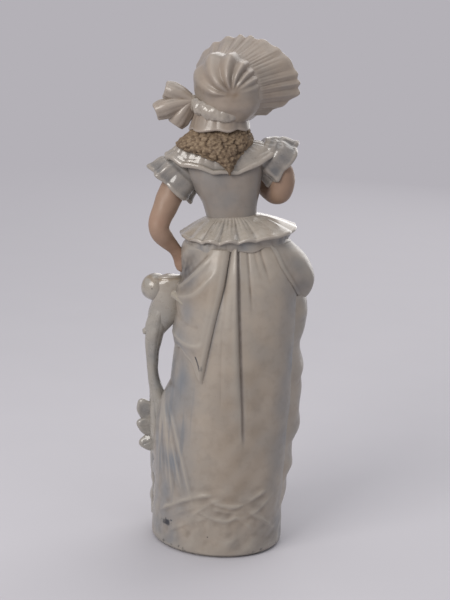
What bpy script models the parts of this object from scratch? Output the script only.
"""Slip-cast ceramic figurine: a standing figure in a long dress and a pleated bonnet, beside a tree stump.

Such a figure is cast in separate moulds, and its castings are luted together with slip and fired, so each
casting is a solid of its own here. A luted joint is a seat: the carried piece runs into the piece that
carries it and is cut back from it by SEAT_GAP. Necks, arms and the waist end in spigots that sit in sockets.

Frame: metres, +Z up. The figure faces -Y and its left side is +X. The origin is the middle of the flat foot.
Angles round the figure start at its left (+X) and pass its back (+Y), so a quarter turn is the back.
"""

import math

import bmesh
import bpy
import numpy as np
from mathutils import Vector

MM = 0.001
SEAT_GAP = 0.3 * MM
SPIGOT = 7.0 * MM

# Base: a low mound, hollow, with a flat foot and a vent for the kiln
BASE_HALF_WIDTH = 36.5 * MM
BASE_HALF_DEPTH = 36.0 * MM
BASE_SET_FORWARD = 2.0 * MM
BASE_HEIGHT = 12.7 * MM
BASE_EDGE_ROUND = 2.5 * MM
BASE_FLOOR = 4.0 * MM
VENT_RADIUS = 4.5 * MM
VENT_FORWARD = 14.0 * MM
BASE_RIPPLE = 0.5 * MM
BASE_LIP = 1.0 * MM

# Skirt: reaches to the left, right, back and front at shares of the height from the base to the waist.
# Its foot keeps inside the base that it stands on.
SKIRT_HEIGHT = 169.0 * MM
SKIRT_WALL = 4.0 * MM
SKIRT_FOOT_SIDE = BASE_HALF_WIDTH - 1.3 * MM
SKIRT_FOOT_BACK = BASE_HALF_DEPTH - BASE_SET_FORWARD - 0.5 * MM
SKIRT_FOOT_FRONT = BASE_HALF_DEPTH + BASE_SET_FORWARD - 9.0 * MM
SKIRT_SHARES = (0.0, 0.25, 0.5, 0.75, 0.87, 0.915, 0.955)
SKIRT_LEFT = (SKIRT_FOOT_SIDE, 33.5 * MM, 30.3 * MM, 27.0 * MM, 26.5 * MM, 25.5 * MM, 20.0 * MM)
SKIRT_RIGHT = (SKIRT_FOOT_SIDE, 37.0 * MM, 38.0 * MM, 37.5 * MM, 36.5 * MM, 34.0 * MM, 29.0 * MM)
SKIRT_BACK = (SKIRT_FOOT_BACK, 33.0 * MM, 32.0 * MM, 29.5 * MM, 26.5 * MM, 24.0 * MM, 20.5 * MM)
SKIRT_FRONT = (SKIRT_FOOT_FRONT, 28.0 * MM, 25.0 * MM, 21.0 * MM, 18.8 * MM, 17.5 * MM, 14.5 * MM)
SKIRT_SQUARENESS = 2.25
SKIRT_LID = 0.90
SKIRT_RIM = SKIRT_SHARES[-1]
FOLDS_FADE = (0.08, 0.12)

# Back panel of the skirt: a knife pleat whose edge drifts to the left as it falls, and three creases.
# A crease has its place at the top, drift, half width, depth and the shares of height where it starts.
PLEAT_TOP = 0.90
PLEAT_DROP = 0.44
PLEAT_STEP = 2.2 * MM
PLEAT_EDGE_TOP = 5.5 * MM
PLEAT_EDGE_DRIFT = 7.0 * MM
PLEAT_EDGE_WIDTH = 1.6 * MM
PLEAT_HOLLOW = 1.2 * MM
PLEAT_HOLLOW_AWAY = 2.5 * MM
PLEAT_HOLLOW_WIDTH = 4.0 * MM
PANEL_RIGHT_EDGE = (-17.0 * MM, -5.0 * MM)
CREASES = (
    (-2.5 * MM, 15.7 * MM, 1.5 * MM, 1.4 * MM, 0.20, 0.30),
    (-8.5 * MM, 20.0 * MM, 2.2 * MM, 1.0 * MM, 0.66, 0.80),
    (-15.5 * MM, 60.0 * MM, 2.2 * MM, 1.0 * MM, 0.74, 0.84),
)
FLUTE_DEPTH = 1.7 * MM
FLUTE_COUNT = 18
FLUTE_FADE = 13.5 * MM

# Applied drapery, laid on the skirt
DRAPE_THICKNESS = 1.8 * MM
DRAPE_BELOW_WAIST = 12.675 * MM
DRAPE_LENGTH = 59.15 * MM
DRAPE_FRONT_SHORTER = 10.14 * MM
DRAPE_CORNER = 12.675 * MM
DRAPE_TUCK = 0.8 * MM
DRAPE_CLEAR = 0.85 * MM
DRAPE_FRONT_EDGE = math.radians(-38.0)
SWAG_HEIGHT = 1.6 * MM
PATCH_CLEAR = SEAT_GAP + 0.2 * MM
PANNIER_PUFF = 6.8 * MM
PANNIER_SHARES = (0.765, 0.93)
PANNIER_FOLD = (math.radians(176.0), math.radians(136.0))
PANNIER_FRONT_EDGE = math.radians(218.0)
CASCADE_SHARES = (0.06, 0.765)
CASCADE_BACK_EDGE = math.radians(172.0)
CASCADE_SPREAD = math.radians(24.0)
CASCADE_SWAY = math.radians(4.0)
CASCADE_DEPTH = 4.6 * MM
CASCADE_WAVES = 4.5
FLOUNCE_OVER_BASE = 0.7 * MM
FLOUNCE_HEIGHT = 20.0 * MM
FLOUNCE_DEPTH = 2.6 * MM
FLOUNCE_FLUTES = 12
FLOUNCE_RIGHT_EDGE = math.radians(203.0)
FLOUNCE_SPREAD = math.radians(124.0)

# Waist and peplum
WAIST = Vector((1.5 * MM, 0.0, BASE_HEIGHT + SKIRT_HEIGHT))
WAIST_HALF_WIDTH = 13.3 * MM
WAIST_HALF_DEPTH = 10.0 * MM
SPIGOT_INSET = 3.0 * MM
PEPLUM_REACH = np.array((28.5, 34.5, 26.5, 21.0)) * MM
PEPLUM_RISE = 3.0 * MM
PEPLUM_CLEAR = SEAT_GAP + 1.0 * MM
PEPLUM_DROP = 7.5 * MM
PEPLUM_BACK_DROP = 2.0 * MM
PEPLUM_TILT = 0.11
PEPLUM_THICKNESS = 1.8 * MM
PEPLUM_SCALLOPS = 19
PEPLUM_SCALLOP_DEPTH = 1.1 * MM
BAND_HEIGHT = 3.2 * MM
BAND_THICKNESS = 1.7 * MM
BAND_CLEAR = SEAT_GAP + 0.4 * MM

# Bodice: sizes at shares of the height from the waist to the neck
BODICE_HEIGHT = 41.0 * MM
BODICE_SHARES = (0.0, 0.2, 0.45, 0.65, 0.8, 0.92, 1.0)
BODICE_LEAN = np.array((0.0, 1.5, 3.8, 5.6, 6.5, 7.3, 7.7)) * MM
BODICE_HALF_WIDTH = np.array((0.0, 1.4, 4.9, 7.7, 8.2, 3.7, -4.3)) * MM
BODICE_BACK = np.array((0.0, 0.5, 1.5, 1.5, 0.5, -1.0, -3.0)) * MM
BODICE_FRONT = np.array((0.0, 2.0, 5.0, 4.0, 1.0, -1.0, -3.0)) * MM
SHOULDER_TILT = math.radians(10.0)

# Collar, sleeves and arms
COLLAR_REACH = np.array((29.0, 29.5, 13.5, 16.0)) * MM
COLLAR_DROP = np.array((7.5, 1.5, 12.5, 15.0)) * MM
COLLAR_NECK_RADIUS = 8.5 * MM
COLLAR_THICKNESS = 4.2 * MM
COLLAR_RISE = 1.0 * MM
COLLAR_CROWN = 2.0 * MM
COLLAR_PUFFS = 12
COLLAR_PUFF_DEPTH = 0.8 * MM
LEFT_SHOULDER = WAIST + Vector((25.5, -1.0, 29.0)) * MM
LEFT_SLEEVE_AIM = Vector((0.62, 0.0, -0.78)).normalized()
RIGHT_SHOULDER = WAIST + Vector((-13.5, -1.0, 39.0)) * MM
RIGHT_SLEEVE_AIM = Vector((-0.82, -0.25, -0.52)).normalized()
SLEEVE_LENGTH = 14.5 * MM
SLEEVE_HEM_RADIUS = 14.3 * MM
RIGHT_SLEEVE_SHARE = 0.92
SLEEVE_FLATNESS = 0.78
SLEEVE_RUFFLES = 8
SLEEVE_RUFFLE_DEPTH = 0.9 * MM
LEFT_ELBOW = WAIST + Vector((39.0, 5.0, -5.5)) * MM
LEFT_WRIST = WAIST + Vector((25.0, -13.0, -21.7)) * MM
LEFT_KNUCKLES = WAIST + Vector((22.0, -19.0, -29.0)) * MM
RIGHT_ELBOW = WAIST + Vector((-25.5, -5.0, 17.0)) * MM
RIGHT_WRIST = WAIST + Vector((-6.0, -23.5, 26.0)) * MM
RIGHT_KNUCKLES = WAIST + Vector((2.5, -23.0, 32.5)) * MM
LEFT_UPPER_ARM_BOW = Vector((1.5, 0.0, 0.0)) * MM
RIGHT_UPPER_ARM_BOW = Vector((-4.0, 0.0, 0.0)) * MM
ARM_SPIGOT_DEPTH = 6.0 * MM
ARM_RADIUS = 7.0 * MM
ELBOW_RADIUS = 5.9 * MM
WRIST_RADIUS = 3.6 * MM
HAND_HALF_WIDTH = 4.2 * MM
HAND_HALF_THICKNESS = 2.2 * MM

# Head, turned to the figure's right and lifted a little
NECK_FOOT = WAIST + Vector((BODICE_LEAN[-1], 0.0, BODICE_HEIGHT))
NECK_RADIUS = 5.6 * MM
NECK_SPIGOT_RADIUS = 4.8 * MM
HEAD_OVER_NECK = 30.3 * MM
HEAD_RIGHT_OF_NECK = 6.2 * MM
HEAD_AHEAD = 3.0 * MM
HEAD_CENTRE = NECK_FOOT + Vector((-HEAD_RIGHT_OF_NECK, -HEAD_AHEAD, HEAD_OVER_NECK))
HEAD_HALF_WIDTH = 11.3 * MM
HEAD_HALF_DEPTH = 13.0 * MM
HEAD_HALF_HEIGHT = 15.5 * MM
HEAD_TURN = math.radians(27.0)
HEAD_LIFT = math.radians(10.0)
NOSE_HEIGHT = 2.3 * MM
CHIN_HEIGHT = 1.0 * MM
EYE_HOLLOW = 0.9 * MM
NECK_COLLAR = 2.0 * MM
NECK_BEHIND_CHIN = 3.0 * MM
HAIR_LUMP = 1.2 * MM
HAIR_LEVELS = np.array((-20.0, -16.5, -11.0, -6.0, -1.0, 9.5)) * MM
HAIR_LEAN = np.array((-4.5, -3.5, -1.0, 2.0, 3.0, 2.0)) * MM
HAIR_HALF_WIDTH = np.array((0.8, 3.6, 8.5, 15.0, 18.6, 12.0)) * MM
HAIR_BACK = np.array((9.0, 10.8, 12.4, 13.4, 13.6, 9.5)) * MM
HAIR_FRONT = 5.0 * MM
HAIR_BEHIND_NECK = 4.0 * MM
CURL_HEIGHT = 2.6 * MM
CURL_WAVE = 0.8 * MM
CURL_CLEAR = SEAT_GAP + 0.15 * MM

# Bonnet, built round the line of sight of the head
CROWN_BEHIND_HEAD = 9.0 * MM
CROWN_RADIUS = 18.8 * MM
CROWN_BAND_RADIUS = 19.4 * MM
CROWN_FOLDS = 8
CROWN_FOLD_DEPTH = 1.1 * MM
BRIM_ROOT = 0.5 * MM
BRIM_DEPTH = 19.5 * MM
CROWN_BAND_LENGTH = 6.5 * MM
BRIM_HALF_WIDTH = 31.5 * MM
BRIM_HALF_HEIGHT = 25.0 * MM
BRIM_THICKNESS = 2.2 * MM
BRIM_CLEAR = SEAT_GAP + 0.1 * MM
BRIM_SPAN = math.radians(131.0)
BRIM_SCALLOPS = 17
BRIM_SCALLOP_DEPTH = 1.3 * MM
CURTAIN_HALF_WIDTH = 16.0 * MM
CURTAIN_REACH = 16.0 * MM
CURTAIN_LENGTH = 10.0 * MM
CURTAIN_THICKNESS = 2.4 * MM
CURTAIN_WAVE = 0.7 * MM
CURTAIN_TILT = 1.2 * MM
CURTAIN_MIDDLE = HEAD_CENTRE + Vector((7.5, 5.0, -11.5)) * MM
RIBBON_HALF_WIDTH = 3.0 * MM
RIBBON_PROUD = 1.0 * MM
BOW_KNOT = HEAD_CENTRE + Vector((23.5, 6.5, -11.0)) * MM
BOW_KNOT_RADIUS = 3.4 * MM
BOW_LOOP_LENGTH = 16.5 * MM
BOW_LOOP_HALF_WIDTH = 4.5 * MM
BOW_LOOP_HALF_THICKNESS = 2.4 * MM
BOW_LOOP_DROOP = 2.0 * MM
BOW_LOOPS = (
    ("bow_loop_upper", Vector((0.80, 0.0, 0.64)), 1.0),
    ("bow_loop_middle", Vector((1.0, 0.12, -0.08)), 1.1),
    ("bow_loop_lower", Vector((0.68, -0.1, -0.73)), 0.7),
)

# Stump beside the skirt, with its sawn side branch and ivy
STUMP_FOOT_INSET = 10.0 * MM
STUMP_FORWARD = 4.0 * MM
STUMP_FOOT = Vector((BASE_HALF_WIDTH - STUMP_FOOT_INSET, -STUMP_FORWARD, 0.0))
STUMP_FORK_OUT = 40.0 * MM
STUMP_FORK_BELOW_WAIST = 62.0 * MM
STUMP_FORK = Vector((STUMP_FORK_OUT, -STUMP_FORWARD, WAIST.z - STUMP_FORK_BELOW_WAIST))
STUMP_TOP_OUT = 30.5 * MM
STUMP_TOP_FORWARD = 12.0 * MM
STUMP_TOP_OVER_FORK = 26.5 * MM
STUMP_TOP = Vector((STUMP_TOP_OUT, -STUMP_TOP_FORWARD, STUMP_FORK.z + STUMP_TOP_OVER_FORK))
STUMP_FOOT_RADIUS = 10.8 * MM
STUMP_STEM_RADIUS = 3.4 * MM
STUMP_TOP_RADIUS = 5.0 * MM
STUMP_SLOT_LOW = 74.0 * MM
STUMP_SLOT_OUT = 36.0 * MM
STUMP_STEM_BOW = 3.0 * MM
STUMP_HIP_IN = 1.7 * MM
STUMP_HIP_RADIUS = 9.5 * MM
STUMP_SLOT_RADIUS = 7.0 * MM
STUMP_SUNK = 1.5 * MM
KNOB_BEYOND_FORK = 1.5 * MM
KNOB_BEFORE_FORK = 1.0 * MM
KNOB_OVER_FORK = 21.5 * MM
KNOB_CENTRE = STUMP_FORK + Vector((KNOB_BEYOND_FORK, -KNOB_BEFORE_FORK, KNOB_OVER_FORK))
KNOB_RADIUS = 7.8 * MM
TWIG_LENGTH = 8.5 * MM
TWIG_RADIUS = 2.0 * MM
TWIG_BELOW_FORK = 6.0 * MM
LEAF_HALF_LENGTH = 6.5 * MM
LEAF_HALF_WIDTH = 5.0 * MM
LEAF_HALF_THICKNESS = 2.6 * MM
LEAF_HEIGHTS = np.array((71.0, 61.0, 52.0)) * MM
LEAF_OUT = STUMP_SLOT_OUT + STUMP_SLOT_RADIUS
LEAF_SLANT = 0.10
SHOE_LENGTH = 13.0 * MM
SHOE_HALF_WIDTH = 4.3 * MM
SHOE_HEIGHT = 5.2 * MM
SHOE_SPREAD = 9.0 * MM

# Fineness of the meshes
BACK_COLUMNS = 24
SIDE_COLUMNS = 4
FRONT_COLUMNS = 24
SKIRT_ROWS = 11

UP = Vector((0.0, 0.0, 1.0))
UNDER_GLAZE = {
    "dress": ((0.62, 0.58, 0.53), 0.45),
    "bodice": ((0.50, 0.52, 0.52), 0.40),
    "lustre": ((0.60, 0.60, 0.56), 0.18),
    "bonnet": ((0.66, 0.62, 0.55), 0.35),
    "flesh": ((0.62, 0.45, 0.34), 0.50),
    "hair": ((0.33, 0.26, 0.18), 0.60),
    "stump": ((0.56, 0.57, 0.53), 0.25),
}


# Shapes worked out from the sizes


def curve_through(at, knots, values):
    """A smooth curve through hand-chosen values at rising knots, level past both ends."""
    knots = np.asarray(knots, float)
    values = np.asarray(values, float)
    at = np.clip(at, knots[0], knots[-1])
    step = np.diff(knots)
    rise = np.diff(values) / step
    inner = (rise[:-1] * step[1:] + rise[1:] * step[:-1]) / (step[:-1] + step[1:])
    slope = np.concatenate([rise[:1], inner, rise[-1:]])
    i = np.clip(np.searchsorted(knots, at, side="right") - 1, 0, len(step) - 1)
    t = (at - knots[i]) / step[i]
    start = (1 + 2 * t) * (1 - t) ** 2 * values[i] + t * (1 - t) ** 2 * step[i] * slope[i]
    end = t * t * (3 - 2 * t) * values[i + 1] - t * t * (1 - t) * step[i] * slope[i + 1]
    return start + end


def eased(value, low, high):
    """0 below low, 1 above high, and smooth between."""
    t = np.clip((value - low) / (high - low), 0.0, 1.0)
    return t * t * (3 - 2 * t)


def hump(value, centre, width):
    """A bell of height 1 round a centre."""
    return np.exp(-(((value - centre) / width) ** 2))


def oval(angle, left, right, back, front, squareness=2.0):
    """x and y of an egg-like outline whose four reaches differ."""
    c, s = np.cos(angle), np.sin(angle)
    power = 2.0 / squareness
    x = np.where(c >= 0, left, right) * np.sign(c) * np.abs(c) ** power
    y = np.where(s >= 0, back, front) * np.sign(s) * np.abs(s) ** power
    return x, y


def stack(x, y, z):
    return np.stack(np.broadcast_arrays(x, y, z), axis=-1)


def turns(count, start=0.0, end=2 * math.pi, closed=True):
    return np.linspace(start, end, count, endpoint=not closed)


def skirt_angles():
    """Columns round the skirt, closer together at the pleated back and the fluted front."""
    back, front = math.radians(70.0), math.radians(55.0)
    quarter = math.pi / 2
    corners = (quarter - back, quarter + back, 3 * quarter - front, 3 * quarter + front, 5 * quarter - back)
    counts = (BACK_COLUMNS, SIDE_COLUMNS, FRONT_COLUMNS, SIDE_COLUMNS)
    return np.concatenate([turns(n, a, b) for n, a, b in zip(counts, corners, corners[1:])])


def pleat_edge(share):
    """x of the raised back panel's left edge, which drifts to the left as it falls."""
    return PLEAT_EDGE_TOP + PLEAT_EDGE_DRIFT * (PLEAT_TOP - share) / PLEAT_DROP


def skirt_folds(angle, share, x):
    """Height of the folds over the plain skirt: the back panel's step and creases, and the front's flutes."""
    at_back = eased(np.sin(angle), 0.15, 0.55)
    edge = pleat_edge(share)
    panel = PLEAT_STEP * eased(edge - x, 0.0, PLEAT_EDGE_WIDTH) * eased(x, *PANEL_RIGHT_EDGE)
    hollow = PLEAT_HOLLOW * hump(x, edge + PLEAT_HOLLOW_AWAY, PLEAT_HOLLOW_WIDTH)
    back = (panel - hollow) * eased(share, PLEAT_DROP, PLEAT_DROP + 0.16)
    for place, drift, width, depth, low, high in CREASES:
        back = back - depth * hump(x, place - drift * (PLEAT_TOP - share), width) * eased(share, low, high)
    start = (FLOUNCE_OVER_BASE + FLOUNCE_HEIGHT) / SKIRT_HEIGHT
    at_front = eased(-np.sin(angle), 0.60, 0.75) * eased(share, start, start + FLUTE_FADE / SKIRT_HEIGHT)
    flutes = FLUTE_DEPTH * np.cos(FLUTE_COUNT * angle) * (1.2 - share)
    return at_back * back * eased(1 - share, *FOLDS_FADE) + at_front * flutes * eased(1 - share, 0.05, 0.2)


def skirt_surface(angle, share, out=0.0, folds=True):
    """Points on the skirt, or at a distance out from it."""
    sides = (SKIRT_LEFT, SKIRT_RIGHT, SKIRT_BACK, SKIRT_FRONT)
    reach = [curve_through(share, SKIRT_SHARES, side) for side in sides]
    x, y = oval(angle, *reach, SKIRT_SQUARENESS)
    height = skirt_folds(angle, share, x) if folds else 0.0
    grown = 1 + (out + height) / np.hypot(x, y)
    return stack(x * grown, y * grown, skirt_height(share))


def skirt_height(share):
    """Height over the foot of a share of the way from the base to the waist."""
    return BASE_HEIGHT + SEAT_GAP + share * SKIRT_HEIGHT


def spigot_reach(out=0.0):
    """Reaches of the bodice's waist spigot, or of the hole round it."""
    side, end = WAIST_HALF_WIDTH - SPIGOT_INSET + out, WAIST_HALF_DEPTH - SPIGOT_INSET + out
    return side, side, end, end


def head_axes():
    """The head's line of sight, its left and its up, as unit vectors."""
    sight = Vector(
        (
            -math.sin(HEAD_TURN) * math.cos(HEAD_LIFT),
            -math.cos(HEAD_TURN) * math.cos(HEAD_LIFT),
            math.sin(HEAD_LIFT),
        )
    )
    left = UP.cross(sight).normalized()
    return np.array(sight), np.array(left), np.array(sight.cross(left))


# Meshes


def glaze(name, finish):
    """One casting's own glaze or underglaze colour."""
    made = bpy.data.materials.new(name + "_" + finish)
    made.use_nodes = True
    colour, roughness = UNDER_GLAZE[finish]
    shader = made.node_tree.nodes["Principled BSDF"]
    shader.inputs["Base Color"].default_value = (*colour, 1.0)
    shader.inputs["Roughness"].default_value = roughness
    shader.inputs["Metallic"].default_value = 0.0
    return made


def casting(name, points, faces, finish):
    """A named object with outward faces, shaded smooth."""
    mesh = bpy.data.meshes.new(name)
    mesh.from_pydata([tuple(p) for p in points], [], faces)
    shape = bmesh.new()
    shape.from_mesh(mesh)
    bmesh.ops.triangulate(shape, faces=shape.faces)
    bmesh.ops.recalc_face_normals(shape, faces=shape.faces)
    shape.to_mesh(mesh)
    shape.free()
    mesh.shade_smooth()
    mesh.set_sharp_from_angle(angle=math.radians(50.0))
    mesh.materials.append(glaze(name, finish))
    made = bpy.data.objects.new(name, mesh)
    bpy.context.scene.collection.objects.link(made)
    return made


def strips(rows, columns, first=0, wraps=True):
    """Quads between the rows of a grid whose points are numbered from first."""
    last = columns if wraps else columns - 1
    return [
        (
            first + r * columns + c,
            first + r * columns + (c + 1) % columns,
            first + (r + 1) * columns + (c + 1) % columns,
            first + (r + 1) * columns + c,
        )
        for r in range(rows - 1)
        for c in range(last)
    ]


def lofted(name, rings, finish):
    """A closed solid through rings of points, its two ends filled by fans."""
    rows, columns, _ = rings.shape
    points = list(rings.reshape(-1, 3))
    faces = strips(rows, columns)
    for row in (0, rows - 1):
        hub = len(points)
        points.append(rings[row].mean(axis=0))
        faces += [(row * columns + c, row * columns + (c + 1) % columns, hub) for c in range(columns)]
    return casting(name, points, faces, finish)


def looped(name, rings, finish):
    """A closed solid through rings of points whose last ring joins the first, so that it is open through."""
    rows, columns, _ = rings.shape
    closed = np.concatenate([rings, rings[:1]])
    faces = [tuple(i % (rows * columns) for i in face) for face in strips(rows + 1, columns)]
    return casting(name, closed[:-1].reshape(-1, 3), faces, finish)


def hidden(piece):
    """Marks a helper that only cuts other pieces."""
    piece.hide_render = True
    piece.display_type = "WIRE"
    return piece


def slab(name, outer, inner, finish, wraps=False):
    """A closed solid between an outer and an inner sheet of the same grid."""
    rows, columns, _ = outer.shape
    count = rows * columns
    points = np.concatenate([outer.reshape(-1, 3), inner.reshape(-1, 3)])
    faces = strips(rows, columns, 0, wraps) + strips(rows, columns, count, wraps)
    for row in (0, rows - 1):
        rim = [row * columns + c for c in range(columns)]
        pairs = list(zip(rim, rim[1:] + rim[:1]))[: None if wraps else -1]
        faces += [(a, b, b + count, a + count) for a, b in pairs]
    if not wraps:
        for column in (0, columns - 1):
            rim = [r * columns + column for r in range(rows)]
            faces += [(a, b, b + count, a + count) for a, b in zip(rim, rim[1:])]
    return casting(name, points, faces, finish)


def swept(name, spine, half_widths, half_depths, finish, sides=14, facing=Vector((0, 1, 0)), ridges=0.0):
    """A closed solid along a spine, oval across it. facing is the side that the half depths reach to.

    ridges is the share by which five slowly turning ridges stand out of the oval.
    """
    spine = np.asarray(spine, float)
    along = np.gradient(spine, axis=0)
    along /= np.linalg.norm(along, axis=1, keepdims=True)
    across = np.cross(np.array(facing), along)
    across /= np.linalg.norm(across, axis=1, keepdims=True)
    depth = np.cross(along, across)
    angle = turns(sides)[None, :, None]
    bark = 1 + ridges * np.cos(5 * angle + 0.35 * np.arange(len(spine))[:, None, None])
    rings = (
        spine[:, None, :]
        + bark * np.cos(angle) * across[:, None, :] * np.asarray(half_widths)[:, None, None]
        + bark * np.sin(angle) * depth[:, None, :] * np.asarray(half_depths)[:, None, None]
    )
    return lofted(name, rings, finish)


def spine_through(stations, count):
    """count points on a smooth curve through a few stations."""
    stations = np.array([tuple(s) for s in stations])
    knots = np.concatenate([[0.0], np.cumsum(np.linalg.norm(np.diff(stations, axis=0), axis=1))])
    at = np.linspace(0.0, knots[-1], count)
    return np.stack([curve_through(at, knots, stations[:, k]) for k in range(3)], axis=-1)


# Seats


def room_for(piece):
    """A hidden copy of a piece, grown by the seat's gap, that cuts the piece it carries."""
    name = "room_for_" + piece.name
    if name in bpy.data.objects:
        return bpy.data.objects[name]
    mesh = piece.data.copy()
    shape = bmesh.new()
    shape.from_mesh(mesh)
    shape.normal_update()
    moved = [(v, v.co + v.normal * SEAT_GAP * v.calc_shell_factor()) for v in shape.verts]
    for v, place in moved:
        v.co = place
    shape.to_mesh(mesh)
    shape.free()
    room = bpy.data.objects.new(name, mesh)
    bpy.context.scene.collection.objects.link(room)
    return hidden(room)


def seat(piece, *carriers):
    """Cuts a piece back from each piece that carries it."""
    for carrier in carriers:
        cut = piece.modifiers.new("seat_on_" + carrier.name, "BOOLEAN")
        cut.operation = "DIFFERENCE"
        cut.solver = "EXACT"
        cut.object = room_for(carrier)
    return piece


# Base and skirt


def make_base():
    """A cup with a flat foot. Its cavity opens into the skirt, and a vent goes through its floor."""
    angle = turns(28)
    profile = (
        (0.0, BASE_EDGE_ROUND),
        (0.3 * BASE_EDGE_ROUND, 0.3 * BASE_EDGE_ROUND),
        (BASE_EDGE_ROUND, 0.0),
        (BASE_HEIGHT - BASE_EDGE_ROUND, 0.0),
        (BASE_HEIGHT, BASE_EDGE_ROUND),
    )
    rings = []
    for height, inset in profile:
        ripple = BASE_RIPPLE * np.sin(7 * angle + 3 * height / BASE_HEIGHT) * (height > 0)
        side, end = BASE_HALF_WIDTH - inset + ripple, BASE_HALF_DEPTH - inset + ripple
        x, y = oval(angle, side, side, end, end)
        rings.append(stack(x, y - BASE_SET_FORWARD, height))
    for height in (BASE_HEIGHT, BASE_FLOOR):
        ring = skirt_surface(angle, np.zeros_like(angle), -SKIRT_WALL - BASE_LIP, folds=False)
        ring[:, 2] = height
        rings.append(ring)
    base = lofted("base_mound", np.array(rings), "dress")
    round_vent = turns(20)
    vent = np.array(
        [
            stack(VENT_RADIUS * np.cos(round_vent), VENT_RADIUS * np.sin(round_vent) - VENT_FORWARD, z)
            for z in (-BASE_FLOOR, 2 * BASE_FLOOR)
        ]
    )
    vent = hidden(lofted("vent_cutter", vent, "dress"))
    cut = base.modifiers.new("vent", "BOOLEAN")
    cut.operation = "DIFFERENCE"
    cut.object = vent
    return base


def make_skirt():
    """The large casting: a hollow bell, open below, with a thick rim at the top for the waist spigot."""
    angle = skirt_angles()
    outer = [skirt_surface(angle, np.full_like(angle, s)) for s in np.linspace(0.0, SKIRT_RIM, SKIRT_ROWS)]
    x, y = oval(angle, *spigot_reach(SEAT_GAP))
    hole = [stack(WAIST.x + x, y, skirt_height(s)) for s in (SKIRT_RIM, SKIRT_LID)]
    inner = [
        skirt_surface(angle, np.full_like(angle, s), -SKIRT_WALL, folds=False)
        for s in (SKIRT_LID, 0.5, 0.0)
    ]
    return looped("skirt", np.array(outer + hole + inner), "dress")


def skirt_solid():
    """The skirt's outside as a hidden filled shape, for cutting what leans on it."""
    angle = turns(40)
    rings = [
        skirt_surface(angle, np.full_like(angle, s), SEAT_GAP, folds=False)
        for s in (-0.03, *np.linspace(0.0, SKIRT_RIM, SKIRT_ROWS))
    ]
    return hidden(lofted("skirt_solid", np.array(rings), "dress"))


def on_skirt(name, angles, shares, out, finish, clear=PATCH_CLEAR):
    """An applied piece over a smooth patch of the skirt, kept off it by the seat's gap."""
    outer = skirt_surface(angles, shares, out, folds=False)
    inner = skirt_surface(angles, shares, clear, folds=False)
    return slab(name, outer, inner, finish)


def make_left_drape():
    """Overskirt gathered towards the left hand, with two hanging swags and a pointed low corner."""
    u = np.linspace(0.0, 1.0, 10)[None, :]
    v = np.linspace(0.0, 1.0, 8)[:, None]
    length = DRAPE_LENGTH - DRAPE_FRONT_SHORTER * u + DRAPE_CORNER * hump(u, 0.0, 0.12)
    shares = 1 - (DRAPE_BELOW_WAIST + length * v) / SKIRT_HEIGHT
    reach = curve_through(shares, SKIRT_SHARES, SKIRT_LEFT)
    edge = np.arccos(np.clip((pleat_edge(shares) + DRAPE_TUCK) / reach, 0, 1) ** (SKIRT_SQUARENESS / 2))
    angles = edge + (DRAPE_FRONT_EDGE - edge) * u
    swags = SWAG_HEIGHT * (hump(v, 0.42 + 0.25 * u, 0.10) + hump(v, 0.94, 0.10)) * eased(u, 0.05, 0.35)
    thickness = DRAPE_THICKNESS * eased(u, -0.15, 0.12) + swags
    return on_skirt("left_drape", angles, shares, thickness + 0.5 * DRAPE_CLEAR, "dress", clear=DRAPE_CLEAR)


def make_right_pannier():
    """The puff over the right hip, bounded at the back by a slanting fold."""
    u = np.linspace(0.0, 1.0, 11)[None, :]
    v = np.linspace(0.0, 1.0, 8)[:, None]
    shares = PANNIER_SHARES[0] + (PANNIER_SHARES[1] - PANNIER_SHARES[0]) * v
    fold = PANNIER_FOLD[0] + (PANNIER_FOLD[1] - PANNIER_FOLD[0]) * v
    angles = fold + (PANNIER_FRONT_EDGE - fold) * u
    puff = PANNIER_PUFF * np.sin(math.pi * np.clip(u * 1.02, 0, 1)) ** 0.7 * np.sin(math.pi * v) ** 0.55
    return on_skirt("right_pannier", angles, shares, DRAPE_THICKNESS * 0.6 + puff, "bodice")


def make_right_cascade():
    """The ruffled front edge of the overskirt, falling in waves down the right side."""
    u = np.linspace(0.0, 1.0, 5)[None, :]
    v = np.linspace(0.0, 1.0, 24)[:, None]
    shares = CASCADE_SHARES[0] + (CASCADE_SHARES[1] - CASCADE_SHARES[0]) * v
    wave = np.sin(2 * math.pi * CASCADE_WAVES * v)
    angles = CASCADE_BACK_EDGE + CASCADE_SPREAD * u + CASCADE_SWAY * wave
    fullness = curve_through(v, (0.0, 0.25, 0.5, 0.75, 0.88, 1.0), (0.35, 0.6, 1.0, 0.95, 0.6, 0.95))
    ruffle = fullness * (0.88 + 0.12 * np.cos(2 * math.pi * CASCADE_WAVES * v))
    out = CASCADE_DEPTH * ruffle * np.sin(math.pi * (0.12 + 0.76 * u)) + PATCH_CLEAR
    return on_skirt("right_cascade", angles, shares, out, "bodice")


def make_hem_flounce():
    """The fluted flounce round the front hem."""
    columns = FLOUNCE_FLUTES * 3 + 1
    u = np.linspace(0.0, 1.0, columns)[None, :]
    v = np.linspace(0.0, 1.0, 2)[:, None]
    shares = (FLOUNCE_OVER_BASE + v * FLOUNCE_HEIGHT) / SKIRT_HEIGHT + 0.0 * u
    angles = FLOUNCE_RIGHT_EDGE + FLOUNCE_SPREAD * u + 0.0 * v
    flutes = 0.55 + 0.45 * np.cos(2 * math.pi * FLOUNCE_FLUTES * u)
    out = FLOUNCE_DEPTH * (0.35 + flutes * (1 - 0.75 * v))
    return on_skirt("hem_flounce", angles, shares, out, "lustre")


# Waist, bodice and collar


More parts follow.
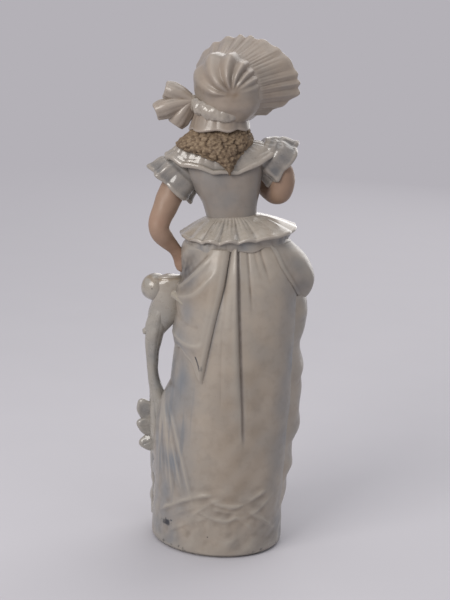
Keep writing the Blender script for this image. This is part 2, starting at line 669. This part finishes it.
def make_bodice():
    """The body from its waist spigot to the neck, leaning to its left and tilted at the shoulders."""
    angle = turns(22)
    rings = []
    x, y = oval(angle, *spigot_reach())
    rings += [stack(WAIST.x + x, y, skirt_height(SKIRT_RIM) + up) for up in (SEAT_GAP - SPIGOT, SEAT_GAP)]
    for share in (0.0, 0.16, 0.33, 0.5, 0.64, 0.76, 0.86, 0.94, 1.0):
        half, back, front, lean = (
            curve_through(share, BODICE_SHARES, side)
            for side in (BODICE_HALF_WIDTH, BODICE_BACK, BODICE_FRONT, BODICE_LEAN)
        )
        half += WAIST_HALF_WIDTH
        x, y = oval(angle, half, half, WAIST_HALF_DEPTH + back, WAIST_HALF_DEPTH + front, 2.3)
        tilt = SHOULDER_TILT * eased(share, 0.1, 0.7) * eased(1 - share, 0.0, 0.15)
        rings.append(
            stack(
                WAIST.x + lean + x * math.cos(tilt),
                y,
                WAIST.z + share * BODICE_HEIGHT - x * math.sin(tilt),
            )
        )
    socket = NECK_SPIGOT_RADIUS + SEAT_GAP
    for z in (NECK_FOOT.z, NECK_FOOT.z - SPIGOT - SEAT_GAP):
        rings.append(stack(NECK_FOOT.x + socket * np.cos(angle), NECK_FOOT.y + socket * np.sin(angle), z))
    return lofted("bodice", np.array(rings), "bodice")


def peplum_sheet(angle, reach):
    """Points of the frill's upper face, from the waist (reach 0) to its edge (1)."""
    out_x, out_y = oval(angle, *PEPLUM_REACH)
    side, end = WAIST_HALF_WIDTH + PEPLUM_CLEAR, WAIST_HALF_DEPTH + PEPLUM_CLEAR
    in_x, in_y = oval(angle, side, side, end, end)
    x = in_x + (out_x - in_x) * reach
    y = in_y + (out_y - in_y) * reach
    fall = PEPLUM_DROP * reach**1.35 + PEPLUM_BACK_DROP * reach * np.maximum(np.sin(angle), 0)
    return x, y, WAIST.z + PEPLUM_RISE - fall - PEPLUM_TILT * x


def make_peplum_frill():
    """The fluted frill that stands out from the waist, with a scalloped edge."""
    angle = turns(PEPLUM_SCALLOPS * 3)
    sheets = []
    for below in (0.0, PEPLUM_THICKNESS):
        rows = []
        for reach in (0.0, 0.55, 1.0):
            x, y, z = peplum_sheet(angle, reach)
            flute = PEPLUM_SCALLOP_DEPTH * reach**1.5 * np.cos(PEPLUM_SCALLOPS * angle)
            grown = 1 + 0.6 * flute / np.hypot(x, y)
            rows.append(stack(WAIST.x + x * grown, y * grown, z + flute - below))
        sheets.append(np.array(rows))
    return slab("peplum_frill", sheets[0], sheets[1], "lustre", wraps=True)


def make_peplum_band():
    """The plain roll under the frill that covers the skirt's gathered top. Its inside follows the skirt."""
    angle = turns(36)
    frill_edge = peplum_sheet(angle, 1.0)[2]
    top = frill_edge - PEPLUM_THICKNESS - PEPLUM_SCALLOP_DEPTH - SEAT_GAP
    rings = []
    for level, proud in ((0.0, 0.5), (0.4, 1.0), (1.0, 0.8), (1.0, 0.0), (0.0, 0.0)):
        share = (top - BAND_HEIGHT * (1 - level) - skirt_height(0.0)) / SKIRT_HEIGHT
        rings.append(skirt_surface(angle, share, BAND_CLEAR + proud * BAND_THICKNESS, folds=False))
    return looped("peplum_band", np.array(rings), "bodice")


def make_collar():
    """The puffed collar that lies over both shoulders and dips at the back and the breast."""
    angle = turns(COLLAR_PUFFS * 3)
    out_x, out_y = oval(angle, *COLLAR_REACH)
    in_x, in_y = oval(angle, *[COLLAR_NECK_RADIUS] * 4)
    weight = np.cos(angle) ** 2
    sideways = np.where(np.cos(angle) >= 0, COLLAR_DROP[0], COLLAR_DROP[1])
    lengthways = np.where(np.sin(angle) >= 0, COLLAR_DROP[2], COLLAR_DROP[3])
    drop = sideways * weight + lengthways * (1 - weight)
    sheets = []
    for below in (0.0, COLLAR_THICKNESS):
        rows = []
        for reach in (0.0, 0.5, 1.0):
            puff = COLLAR_PUFF_DEPTH * np.sin(math.pi * min(reach + 0.15, 1.0)) * np.cos(COLLAR_PUFFS * angle)
            x = in_x + (out_x - in_x) * reach
            y = in_y + (out_y - in_y) * reach
            crown = COLLAR_CROWN * math.sin(math.pi * reach)
            z = NECK_FOOT.z + COLLAR_RISE - drop * reach**1.2 + crown + puff - below
            rows.append(stack(NECK_FOOT.x + x, NECK_FOOT.y + y, z))
        sheets.append(np.array(rows))
    return slab("collar", sheets[0], sheets[1], "lustre", wraps=True)


# Arms and sleeves


def make_sleeve(name, shoulder, aim, hem_radius):
    """A short cap sleeve that flares to a ruffled hem. Its root runs into the shoulder."""
    aim = np.array(aim)
    across = np.cross(np.array((0.0, 1.0, 0.0)), aim)
    across /= np.linalg.norm(across)
    depth = np.cross(aim, across)
    angle = turns(SLEEVE_RUFFLES * 3)
    rings = []
    for share, width in ((0.05, 0.64), (0.22, 0.78), (0.5, 0.92), (1.0, 1.0), (0.97, 0.84), (0.8, 0.62)):
        ruffle = SLEEVE_RUFFLE_DEPTH * max(share, 0.0) * np.cos(SLEEVE_RUFFLES * angle)
        radius = hem_radius * width + ruffle
        rings.append(
            np.array(shoulder)
            + (aim * share * SLEEVE_LENGTH)
            + np.outer(np.cos(angle) * radius, across)
            + np.outer(np.sin(angle) * radius * SLEEVE_FLATNESS, depth)
        )
    return lofted(name, np.array(rings), "lustre")


def make_arm(name, stations, facing):
    """An arm from the spigot in its sleeve to the closed fingers."""
    spine = spine_through(stations, 15)
    share = np.linspace(0.0, 1.0, 15)
    knots = (0.0, 0.22, 0.45, 0.62, 0.78, 0.88, 0.96, 1.0)
    upper = (0.8 * ARM_RADIUS, ARM_RADIUS, ELBOW_RADIUS, 0.85 * ELBOW_RADIUS)
    hand = np.array((1.0, 0.95, 0.6))
    width = curve_through(share, knots, (*upper, WRIST_RADIUS, *HAND_HALF_WIDTH * hand))
    depth = curve_through(share, knots, (*upper, 0.85 * WRIST_RADIUS, *HAND_HALF_THICKNESS * hand))
    return swept(name, spine, width, depth, "flesh", sides=12, facing=facing)


# Head and hair


def head_points(ahead, leftward, upward, out=0.0):
    """Points of a calm, plain head in the given unit directions, or at a distance out from it."""
    sight, left, up = head_axes()
    jaw = 1 - 0.20 * eased(-upward, 0.1, 0.95)
    longitude = np.arctan2(leftward, ahead)
    latitude = np.arcsin(np.clip(upward, -1, 1))
    nose = NOSE_HEIGHT * hump(longitude, 0.0, 0.17) * hump(latitude, -0.16, 0.2)
    chin = CHIN_HEIGHT * hump(longitude, 0.0, 0.35) * hump(latitude, -0.95, 0.25)
    eyes = EYE_HOLLOW * hump(np.abs(longitude), 0.40, 0.22) * hump(latitude, 0.06, 0.14)
    forward = (HEAD_HALF_DEPTH + out) * ahead + (nose + chin - eyes) * (out == 0.0)
    sideways = (HEAD_HALF_WIDTH * jaw + out) * leftward
    height = (HEAD_HALF_HEIGHT + out) * upward
    local = sideways[..., None] * left + forward[..., None] * sight + height[..., None] * up
    return np.array(HEAD_CENTRE) + local


def make_head():
    """Head and neck in one casting. The neck ends in a spigot that sits in the bodice."""
    longitude = turns(18)[None, :]
    latitude = np.linspace(-0.46 * math.pi, 0.47 * math.pi, 12)[:, None]
    level = np.cos(latitude)
    head = head_points(level * np.cos(longitude), level * np.sin(longitude), np.sin(latitude) + 0 * longitude)
    head = lofted("head", head, "flesh")
    foot = NECK_FOOT - UP * SPIGOT
    throat = HEAD_CENTRE + Vector((0.0, NECK_BEHIND_CHIN, -0.35 * HEAD_HALF_HEIGHT))
    rest = NECK_FOOT + UP * SEAT_GAP
    low = rest + UP * NECK_COLLAR
    spine = np.array([foot, rest, rest + UP * SEAT_GAP, low, low.lerp(throat, 0.5), throat])
    radii = (NECK_SPIGOT_RADIUS, NECK_SPIGOT_RADIUS, *[NECK_RADIUS * 1.15] * 2, NECK_RADIUS, NECK_RADIUS)
    fuse(head, swept("neck_part", spine, radii, radii, "flesh", sides=14))
    return head


def fuse(piece, other):
    """Makes one solid of two crossing shapes and deletes the second."""
    join = piece.modifiers.new("fuse", "BOOLEAN")
    join.operation = "UNION"
    join.object = other
    graph = bpy.context.evaluated_depsgraph_get()
    mesh = bpy.data.meshes.new_from_object(piece.evaluated_get(graph))
    piece.modifiers.clear()
    piece.data = mesh
    bpy.data.objects.remove(other)


def make_hair_back():
    """The curls under the bonnet, broad on the shoulders and drawn to a point between them."""
    angle = turns(16)
    rings = []
    for step, level in enumerate(np.linspace(HAIR_LEVELS[0], HAIR_LEVELS[-1], 7)):
        sides = (HAIR_HALF_WIDTH, HAIR_BACK, HAIR_LEAN)
        half, back, lean = (curve_through(level, HAIR_LEVELS, side) for side in sides)
        x, y = oval(angle, half, half, back, HAIR_FRONT)
        lump = HAIR_LUMP * np.sin(7 * angle + 4 * step) * np.sin(5 * angle - 3 * step)
        grown = 1 + lump * eased(half / HAIR_HALF_WIDTH.max(), 0.0, 0.5) / (half + HAIR_LUMP)
        rings.append(
            stack(
                NECK_FOOT.x + lean + x * grown,
                NECK_FOOT.y + HAIR_BEHIND_NECK + y * grown,
                NECK_FOOT.z + level - 0.12 * x,
            )
        )
    return lofted("hair_back", np.array(rings), "hair")


def make_hair_front():
    """The fringe of curls that frames the face inside the brim, laid on the head in front of the crown."""
    span = np.linspace(-1.9, 1.9, 23)[None, :]
    polar = np.radians(np.array((52.0, 60.0, 70.0, 80.0)))[:, None]
    directions = (np.cos(polar) + 0 * span, np.sin(polar) * np.sin(span), np.sin(polar) * np.cos(span))
    curls = CURL_HEIGHT + CURL_WAVE * np.cos(span * 14) * np.cos((polar - 1.1) * 5)
    outer = head_points(*directions, curls)
    inner = head_points(*directions, CURL_CLEAR)
    return slab("hair_front", outer, inner, "hair")


# Bonnet


def bonnet_frame():
    """The middle of the crown and the head's axes."""
    sight, left, up = head_axes()
    return np.array(HEAD_CENTRE) - sight * CROWN_BEHIND_HEAD, sight, left, up


def make_bonnet_crown():
    """The soft crown behind the head. Its folds swirl out of a point at the back and end in a plain band."""
    centre, sight, left, up = bonnet_frame()
    angle = turns(CROWN_FOLDS * 3)
    stations = [
        (polar, -0.92 * CROWN_RADIUS * math.cos(polar), CROWN_RADIUS * math.sin(polar), 1.0)
        for polar in np.radians((8, 26, 44, 63, 80))
    ]
    stations += [(math.pi / 2, ahead, CROWN_BAND_RADIUS, 0.0) for ahead in (0.0, CROWN_BAND_LENGTH)]
    rings = []
    for polar, ahead, radius, folded in stations:
        swirl = angle + 0.7 * (1 - polar / 2)
        reach = radius + folded * CROWN_FOLD_DEPTH * math.sin(polar) * np.cos(CROWN_FOLDS * swirl)
        ring = np.outer(reach * np.sin(angle), left) + np.outer(reach * np.cos(angle), up)
        rings.append(centre + sight * ahead + ring)
    return lofted("bonnet_crown", np.array(rings), "bonnet")


def make_bonnet_brim():
    """The wide fluted brim that flares round the face from cheek to cheek."""
    centre, sight, left, up = bonnet_frame()
    span = np.linspace(-BRIM_SPAN, BRIM_SPAN, BRIM_SCALLOPS * 3 + 1)
    sheets = []
    for inward in (0.0, BRIM_THICKNESS):
        rows = []
        for share in (0.0, 0.5, 1.0):
            share = share * (1 - 0.7 * eased(np.abs(span), 1.65, BRIM_SPAN))
            flute = BRIM_SCALLOP_DEPTH * share * np.cos(BRIM_SCALLOPS * math.pi * (span / BRIM_SPAN + 1))
            root = CROWN_BAND_RADIUS + BRIM_CLEAR + BRIM_THICKNESS
            half_width = root + (BRIM_HALF_WIDTH - root) * share**1.25 + flute - inward
            half_height = root + (BRIM_HALF_HEIGHT - root) * share**1.25 + flute - inward
            ahead = BRIM_ROOT + BRIM_DEPTH * share**0.85 + inward * 0.35
            rows.append(
                centre
                + np.outer(ahead, sight)
                + np.outer(half_width * np.sin(span), left)
                + np.outer(half_height * np.cos(span), up)
            )
        sheets.append(np.array(rows))
    return slab("bonnet_brim", sheets[0], sheets[1], "bonnet")


def curtain_point(angle, level, out):
    """Points of the bonnet's curtain: level 0 is its gathered top and 1 its hem."""
    flare = 0.86 + 0.16 * level
    x = (CURTAIN_HALF_WIDTH * flare + out) * np.cos(angle)
    y = (CURTAIN_REACH * flare + out) * np.sin(angle)
    z = CURTAIN_MIDDLE.z - CURTAIN_LENGTH * level - CURTAIN_TILT * np.cos(angle)
    return stack(CURTAIN_MIDDLE.x + x, CURTAIN_MIDDLE.y + y, z)


def make_bonnet_curtain():
    """The short curtain that hangs from the crown over the nape."""
    angle = np.linspace(math.radians(-8.0), math.radians(182.0), 20)[None, :]
    level = np.linspace(0.0, 1.0, 4)[:, None]
    wave = CURTAIN_WAVE * np.cos(11 * angle) * level
    outer = curtain_point(angle, level, wave)
    inner = curtain_point(angle, level, wave - CURTAIN_THICKNESS)
    return slab("bonnet_curtain", outer, inner, "bonnet")


def make_bonnet_ribbon():
    """The gathered ribbon that ties the curtain to the crown."""
    angle = np.linspace(math.radians(10.0), math.radians(118.0), 14)
    spine = curtain_point(angle, np.full_like(angle, 0.12), RIBBON_PROUD)
    gather = RIBBON_HALF_WIDTH * (1 + 0.14 * np.cos(17 * angle))
    return swept("bonnet_ribbon", spine, gather, gather * 0.8, "lustre", sides=8, facing=UP)


def make_bow_knot():
    """The knot of the bow at the left end of the ribbon."""
    share = np.linspace(-1.0, 1.0, 7)
    spine = np.array(BOW_KNOT) + np.outer(share * BOW_KNOT_RADIUS, np.array((0.35, 0.0, 0.94)))
    radii = BOW_KNOT_RADIUS * np.sqrt(1.08 - share**2)
    return swept("bow_knot", spine, radii, radii * 0.9, "lustre", sides=12)


def make_bow_loop(name, aim, share_of_length):
    """One loop of the bow: a petal of ribbon that widens from the knot and droops at its end."""
    aim = np.array(aim.normalized())
    share = np.linspace(0.0, 1.0, 8)
    droop = np.outer(-BOW_LOOP_DROOP * share**2, np.array(UP))
    spine = np.array(BOW_KNOT) + np.outer(share * BOW_LOOP_LENGTH * share_of_length, aim) + droop
    width = BOW_LOOP_HALF_WIDTH * curve_through(share, (0, 0.3, 0.75, 1.0), (0.45, 0.65, 1.0, 0.72))
    depth = BOW_LOOP_HALF_THICKNESS * curve_through(share, (0, 0.3, 0.75, 1.0), (0.9, 0.9, 1.05, 0.75))
    return swept(name, spine, width, depth, "bonnet", sides=9, facing=Vector((0, 1, 0)))


# Stump, ivy and shoes


def make_stump():
    """The stump: a spreading foot against the skirt, a thin stem clear of it and a top leaning back to it."""
    foot = STUMP_FOOT + UP * (BASE_HEIGHT - STUMP_SUNK)
    slot_low = Vector((STUMP_SLOT_OUT, STUMP_FOOT.y, STUMP_SLOT_LOW))
    stem = slot_low.lerp(STUMP_FORK, 0.5) + Vector((STUMP_STEM_BOW, 0.0, 0.0))
    hip = foot.lerp(slot_low, 0.5) - Vector((STUMP_HIP_IN, 0.0, 0.0))
    spine = spine_through((foot, hip, slot_low, stem, STUMP_FORK, STUMP_TOP), 17)
    share = np.linspace(0.0, 1.0, 17)
    knots = (0.0, 0.25, 0.42, 0.55, 0.70, 0.82, 1.0)
    low = (STUMP_FOOT_RADIUS, STUMP_HIP_RADIUS, STUMP_SLOT_RADIUS)
    width = (*low, STUMP_STEM_RADIUS, 1.15 * STUMP_STEM_RADIUS, STUMP_TOP_RADIUS, STUMP_TOP_RADIUS)
    bark = 1 + 0.06 * np.sin(37 * share) + 0.04 * np.sin(91 * share)
    radii = curve_through(share, knots, width) * bark
    return swept("stump", spine, radii, radii * 1.1, "stump", sides=12, ridges=0.09)


def make_stump_knob():
    """The sawn side branch, rounded over by glaze."""
    fork = np.array(STUMP_FORK.lerp(STUMP_TOP, 0.45))
    tip = np.array(KNOB_CENTRE)
    aim = (tip - fork) / np.linalg.norm(tip - fork)
    share = np.linspace(0.0, 1.0, 9)
    reach = np.linalg.norm(tip - fork) + 0.8 * KNOB_RADIUS
    spine = fork + np.outer(share * reach, aim)
    swell = curve_through(share, (0, 0.25, 0.55, 0.8, 0.94, 1.0), (0.55, 0.72, 1.0, 0.98, 0.66, 0.25))
    radii = KNOB_RADIUS * swell
    return swept("stump_knob", spine, radii, radii, "stump", sides=12)


def make_twig_stub():
    """The short broken twig on the outer side of the stem."""
    root = np.array(STUMP_FORK - UP * TWIG_BELOW_FORK)
    spine = root + np.outer(np.linspace(0.0, 1.0, 4), np.array((0.86, 0.1, 0.42)) * TWIG_LENGTH)
    radii = TWIG_RADIUS * np.array((1.15, 1.0, 0.85, 0.6))
    return swept("twig_stub", spine, radii, radii, "stump", sides=9)


def make_ivy_leaf(name, height, turn):
    """One leaf of the ivy on the outer side of the stump: a rounded lobe with a raised middle."""
    root = np.array((LEAF_OUT + LEAF_SLANT * (height - LEAF_HEIGHTS[1]), STUMP_FOOT.y, height))
    aim = np.array((math.cos(turn), 0.15, math.sin(turn)))
    aim /= np.linalg.norm(aim)
    share = np.linspace(-1.0, 1.0, 9)
    spine = root + np.outer(share * LEAF_HALF_LENGTH, aim)
    outline = np.sqrt(np.maximum(1 - share**2, 0.02))
    lobes = 1 + 0.16 * np.cos(6.5 * share)
    width = LEAF_HALF_WIDTH * outline * lobes
    return swept(name, spine, width, LEAF_HALF_THICKNESS * outline, "stump", sides=10)


def make_shoe(name, side):
    """The toe of a slipper under the front hem."""
    share = np.linspace(0.0, 1.0, 8)
    heel = np.array((side * SHOE_SPREAD, -SKIRT_FRONT[0] + SKIRT_WALL * 0.5, BASE_HEIGHT + SEAT_GAP))
    aim = np.array((side * 0.22, -1.0, 0.0))
    spine = heel + np.outer(share * SHOE_LENGTH * 0.8, aim)
    height = SHOE_HEIGHT * curve_through(share, (0, 0.5, 0.85, 1.0), (1.0, 0.85, 0.6, 0.25))
    width = SHOE_HALF_WIDTH * curve_through(share, (0, 0.5, 0.85, 1.0), (0.85, 1.0, 0.75, 0.3))
    spine[:, 2] += height * 0.35
    return swept(name, spine, width, height * 0.65, "bodice", sides=10, facing=UP)


def build():
    """Makes every casting, then seats each one on those that carry it."""
    for old in list(bpy.data.objects):
        bpy.data.objects.remove(old)

    base = make_base()
    pleated = make_skirt()
    skirt = skirt_solid()
    bodice = make_bodice()
    head = make_head()

    left_arm = make_arm(
        "left_arm",
        (
            LEFT_SHOULDER + LEFT_SLEEVE_AIM * ARM_SPIGOT_DEPTH,
            LEFT_SHOULDER.lerp(LEFT_ELBOW, 0.6) + LEFT_UPPER_ARM_BOW,
            LEFT_ELBOW,
            LEFT_WRIST,
            LEFT_KNUCKLES,
        ),
        Vector((0, 1, 0)),
    )
    right_arm = make_arm(
        "right_arm",
        (
            RIGHT_SHOULDER + RIGHT_SLEEVE_AIM * ARM_SPIGOT_DEPTH,
            RIGHT_SHOULDER.lerp(RIGHT_ELBOW, 0.7) + RIGHT_UPPER_ARM_BOW,
            RIGHT_ELBOW,
            RIGHT_WRIST,
            RIGHT_KNUCKLES,
        ),
        Vector((0, 1, 0.3)),
    )
    seat(left_arm, bodice)
    seat(right_arm, bodice)

    collar = seat(make_collar(), bodice, right_arm)
    sleeves = []
    for name, shoulder, aim, arm, radius in (
        ("left_sleeve", LEFT_SHOULDER, LEFT_SLEEVE_AIM, left_arm, SLEEVE_HEM_RADIUS),
        ("right_sleeve", RIGHT_SHOULDER, RIGHT_SLEEVE_AIM, right_arm, SLEEVE_HEM_RADIUS * RIGHT_SLEEVE_SHARE),
    ):
        sleeves.append(seat(make_sleeve(name, shoulder, aim, radius), bodice, collar, arm))

    crown = seat(make_bonnet_crown(), head)
    make_bonnet_brim()
    curtain = seat(make_bonnet_curtain(), crown, head)
    ribbon = seat(make_bonnet_ribbon(), crown, curtain)
    knot = seat(make_bow_knot(), crown, curtain, ribbon)
    loops = [make_bow_loop(*loop) for loop in BOW_LOOPS]
    for i, loop in enumerate(loops):
        seat(loop, knot, curtain, *loops[:i])
    seat(make_hair_back(), head, bodice, collar, curtain, crown, sleeves[0])
    seat(make_hair_front(), crown)

    make_peplum_frill()
    band = make_peplum_band()
    drape = seat(make_left_drape(), pleated, band, left_arm)
    pannier = seat(make_right_pannier(), band)
    cascade = seat(make_right_cascade(), pannier)
    shoes = [make_shoe("left_shoe", 1.0), make_shoe("right_shoe", -1.0)]
    for shoe in shoes:
        seat(shoe, base, skirt)
    flounce = seat(make_hem_flounce(), *shoes)

    stump = seat(make_stump(), base, skirt, drape, left_arm, flounce)
    seat(make_stump_knob(), stump, left_arm)
    seat(make_twig_stub(), stump)
    leaves = []
    for name, height, turn in zip(
        ("ivy_leaf_upper", "ivy_leaf_middle", "ivy_leaf_lower"), LEAF_HEIGHTS, (0.9, 0.2, -0.6)
    ):
        leaves.append(seat(make_ivy_leaf(name, height, turn), stump, *leaves))


build()
